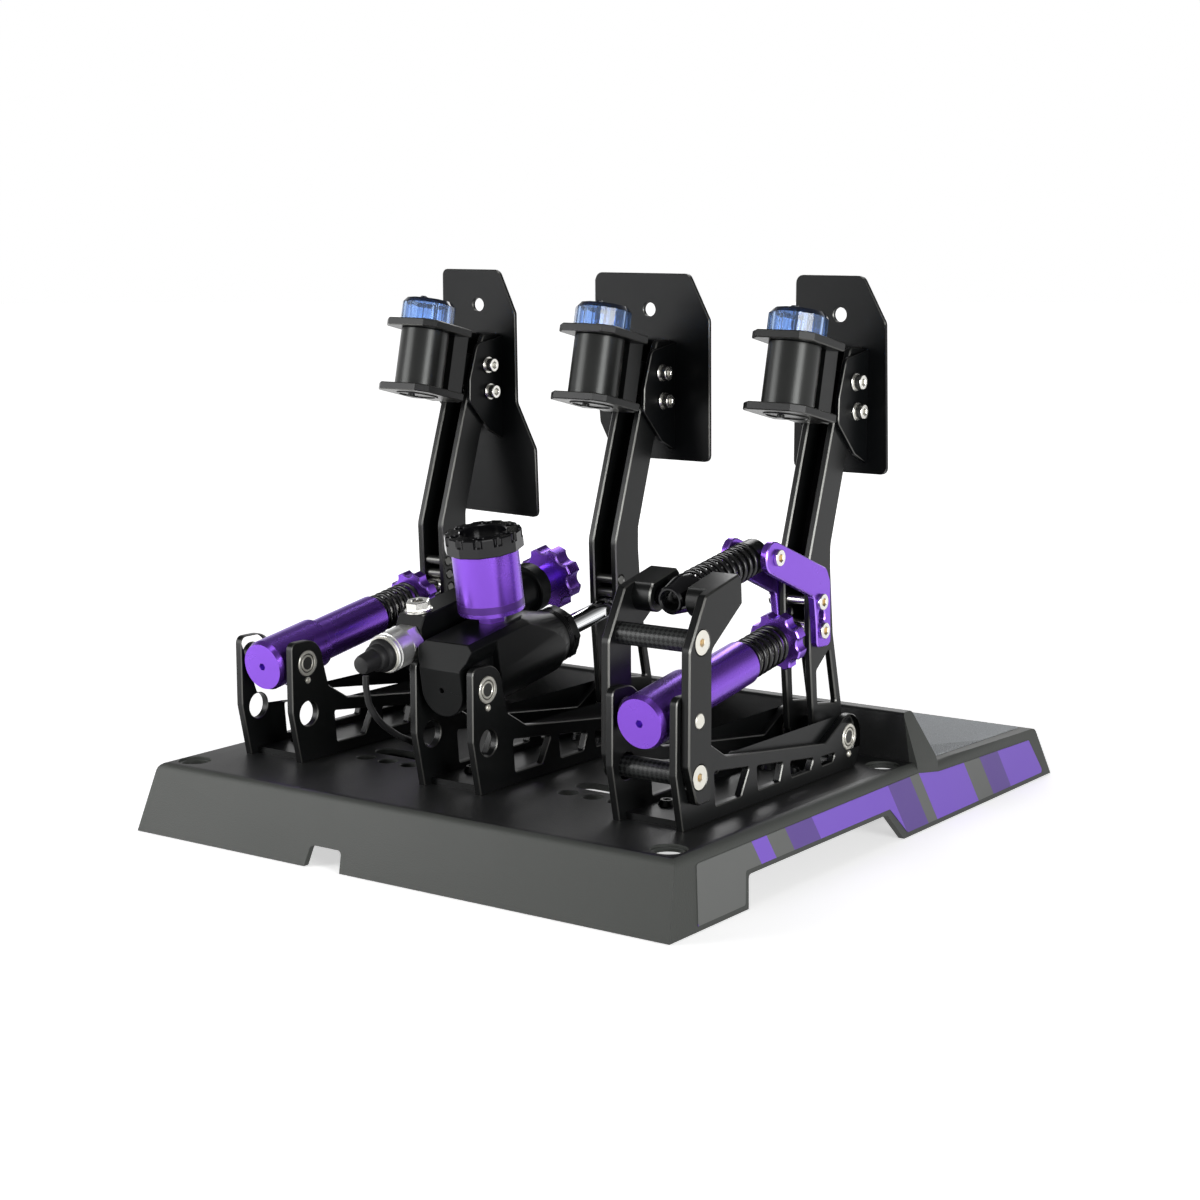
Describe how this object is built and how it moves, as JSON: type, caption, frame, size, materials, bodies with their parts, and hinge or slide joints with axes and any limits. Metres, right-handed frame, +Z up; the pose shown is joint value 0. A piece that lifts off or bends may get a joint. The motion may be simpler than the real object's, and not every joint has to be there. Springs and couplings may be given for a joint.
{
  "type": "sim racing pedal set",
  "caption": "Floor-standing racing simulator pedals: sprung throttle and clutch, hydraulic brake with reservoir, each on its own bracket on a moulded base with a heel plate.",
  "frame": {"origin": "middle of the footprint on the floor", "axes": "+Z up, +X to the driver's right, +Y away from the driver"},
  "size_m": [0.4, 0.473, 0.343],
  "materials": {
    "base_moulding": "grained charcoal moulding",
    "heel_grip": "fine speckled grip sheet",
    "side_film": "satin printed film, plain slanted stripes",
    "case_plastic": "plain matt",
    "board": "solder resist",
    "steel": "bright zinc and turned steel",
    "rubber": "soft matt",
    "black_anodised": "bead blasted, satin black anodised",
    "black_sheet": "fine black powder coat",
    "motor_black": "smooth dark sleeve",
    "clear_dome": "clear blue moulding",
    "purple_anodised": "satin purple anodised",
    "spring_black": "black coated wire",
    "chrome": "polished",
    "carbon": "clear coated woven tube"
  },
  "bodies": {
    "root": {"base_shell": "base_moulding", "heel_grip": "heel_grip", "side_films": "side_film", "controller_case": "case_plastic", "controller_board": "board", "usb_socket": "steel", "cable_grommet": "rubber", "throttle_bracket": "black_anodised", "brake_bracket": "black_anodised", "clutch_bracket": "black_anodised", "pivot_bearings": "steel", "bracket_screws": "steel", "front_pins": "steel", "tower_left": "black_anodised", "tower_right": "black_anodised", "tower_spacers": "carbon", "tower_screws": "steel"},
    "throttle_pedal": {"throttle_arm": "black_anodised", "throttle_face": "black_sheet", "throttle_axle": "steel", "throttle_fasteners": "steel", "throttle_motor_holder": "black_anodised", "throttle_motor": "motor_black", "throttle_dome": "clear_dome"},
    "brake_pedal": {"brake_arm": "black_anodised", "brake_face": "black_sheet", "brake_axle": "steel", "brake_fasteners": "steel", "brake_motor_holder": "black_anodised", "brake_motor": "motor_black", "brake_dome": "clear_dome"},
    "clutch_pedal": {"clutch_arm": "black_anodised", "clutch_face": "black_sheet", "clutch_axle": "steel", "clutch_fasteners": "steel", "clutch_motor_holder": "black_anodised", "clutch_motor": "motor_black", "clutch_dome": "clear_dome", "assist_links": "purple_anodised"},
    "throttle_cylinder_unit": {"throttle_cylinder": "purple_anodised", "throttle_spring": "spring_black"},
    "throttle_rod_unit": {"throttle_rod": "steel"},
    "throttle_wheel_unit": {"throttle_wheel": "purple_anodised"},
    "clutch_cylinder_unit": {"clutch_cylinder": "purple_anodised", "clutch_spring": "spring_black"},
    "clutch_rod_unit": {"clutch_rod": "steel"},
    "clutch_wheel_unit": {"clutch_wheel": "purple_anodised"},
    "brake_cylinder_unit": {"brake_body": "black_anodised", "brake_side_body": "black_anodised", "brake_reservoir": "purple_anodised", "brake_fitting": "steel", "pressure_sensor": "steel", "sensor_cable": "rubber"},
    "reservoir_cap_unit": {"reservoir_cap": "black_anodised"},
    "brake_rod_unit": {"brake_rod": "chrome"},
    "brake_wheel_unit": {"brake_wheel": "purple_anodised"},
    "assist_rod_unit": {"assist_rod": "black_anodised"},
    "assist_guide_unit": {"assist_guide": "black_anodised", "assist_spring": "spring_black"}
  },
  "joints": [
    {"name": "throttle_press", "type": "hinge", "parent": "root", "child": "throttle_pedal", "pos_m": [0.1425, -0.0124, 0.0623], "axis": [-1, 0, 0], "range_deg": [0, 13], "stiffness_Nm_per_rad": 20, "springref_deg": -11.46, "deforming": ["throttle_spring"]},
    {"name": "throttle_rod_turn", "type": "hinge", "parent": "throttle_pedal", "child": "throttle_rod_unit", "pos_m": [0.1425, 0.0082, 0.131], "axis": [-1, 0, 0], "range_deg": [-15, 0]},
    {"name": "throttle_cylinder_swing", "type": "hinge", "parent": "root", "child": "throttle_cylinder_unit", "pos_m": [0.1425, 0.166, 0.1045], "axis": [-1, 0, 0], "range_deg": [-2, 0]},
    {"name": "brake_press", "type": "hinge", "parent": "root", "child": "brake_pedal", "pos_m": [0, -0.0124, 0.0623], "axis": [-1, 0, 0], "range_deg": [0, 5], "stiffness_Nm_per_rad": 400, "springref_deg": -1.15},
    {"name": "brake_rod_turn", "type": "hinge", "parent": "brake_pedal", "child": "brake_rod_unit", "pos_m": [0, 0.0082, 0.131], "axis": [-1, 0, 0], "range_deg": [-6, 0]},
    {"name": "brake_cylinder_swing", "type": "hinge", "parent": "root", "child": "brake_cylinder_unit", "pos_m": [0, 0.166, 0.1045], "axis": [-1, 0, 0], "range_deg": [-1, 0]},
    {"name": "clutch_press", "type": "hinge", "parent": "root", "child": "clutch_pedal", "pos_m": [-0.1425, -0.0124, 0.0623], "axis": [-1, 0, 0], "range_deg": [0, 13], "stiffness_Nm_per_rad": 30, "springref_deg": -11.46, "deforming": ["clutch_spring", "assist_spring"]},
    {"name": "clutch_rod_turn", "type": "hinge", "parent": "clutch_pedal", "child": "clutch_rod_unit", "pos_m": [-0.1425, 0.0082, 0.131], "axis": [-1, 0, 0], "range_deg": [-15, 0]},
    {"name": "clutch_cylinder_swing", "type": "hinge", "parent": "root", "child": "clutch_cylinder_unit", "pos_m": [-0.1425, 0.166, 0.1045], "axis": [-1, 0, 0], "range_deg": [-2, 0]},
    {"name": "assist_guide_swing", "type": "hinge", "parent": "root", "child": "assist_guide_unit", "pos_m": [-0.1425, 0.145, 0.168], "axis": [-1, 0, 0], "range_deg": [-15, 0]},
    {"name": "assist_rod_turn", "type": "hinge", "parent": "clutch_pedal", "child": "assist_rod_unit", "pos_m": [-0.1425, 0.062, 0.182], "axis": [-1, 0, 0], "range_deg": [-28, 0]},
    {"name": "throttle_wheel_turn", "type": "hinge", "parent": "throttle_rod_unit", "child": "throttle_wheel_unit", "pos_m": [0.1425, 0.03335, 0.12678], "axis": [0, -0.9862, 0.1656], "continuous": true},
    {"name": "clutch_wheel_turn", "type": "hinge", "parent": "clutch_rod_unit", "child": "clutch_wheel_unit", "pos_m": [-0.1425, 0.03335, 0.12678], "axis": [0, -0.9862, 0.1656], "continuous": true},
    {"name": "brake_wheel_turn", "type": "hinge", "parent": "brake_cylinder_unit", "child": "brake_wheel_unit", "pos_m": [0.035, 0.03026, 0.14758], "axis": [0, -0.9862, 0.1656], "continuous": true},
    {"name": "reservoir_cap_turn", "type": "hinge", "parent": "brake_cylinder_unit", "child": "reservoir_cap_unit", "pos_m": [0, 0.13757, 0.18279], "axis": [0, 0.1656, 0.9862], "continuous": true}
  ],
  "couplings": [
    {"joint": "throttle_rod_turn", "follows": "throttle_press", "ratio": -1.106},
    {"joint": "throttle_cylinder_swing", "follows": "throttle_press", "ratio": -0.106},
    {"joint": "brake_rod_turn", "follows": "brake_press", "ratio": -1.075},
    {"joint": "brake_cylinder_swing", "follows": "brake_press", "ratio": -0.075},
    {"joint": "clutch_rod_turn", "follows": "clutch_press", "ratio": -1.106},
    {"joint": "clutch_cylinder_swing", "follows": "clutch_press", "ratio": -0.106},
    {"joint": "assist_guide_swing", "follows": "clutch_press", "ratio": -1.07},
    {"joint": "assist_rod_turn", "follows": "clutch_press", "ratio": -2.07}
  ]
}
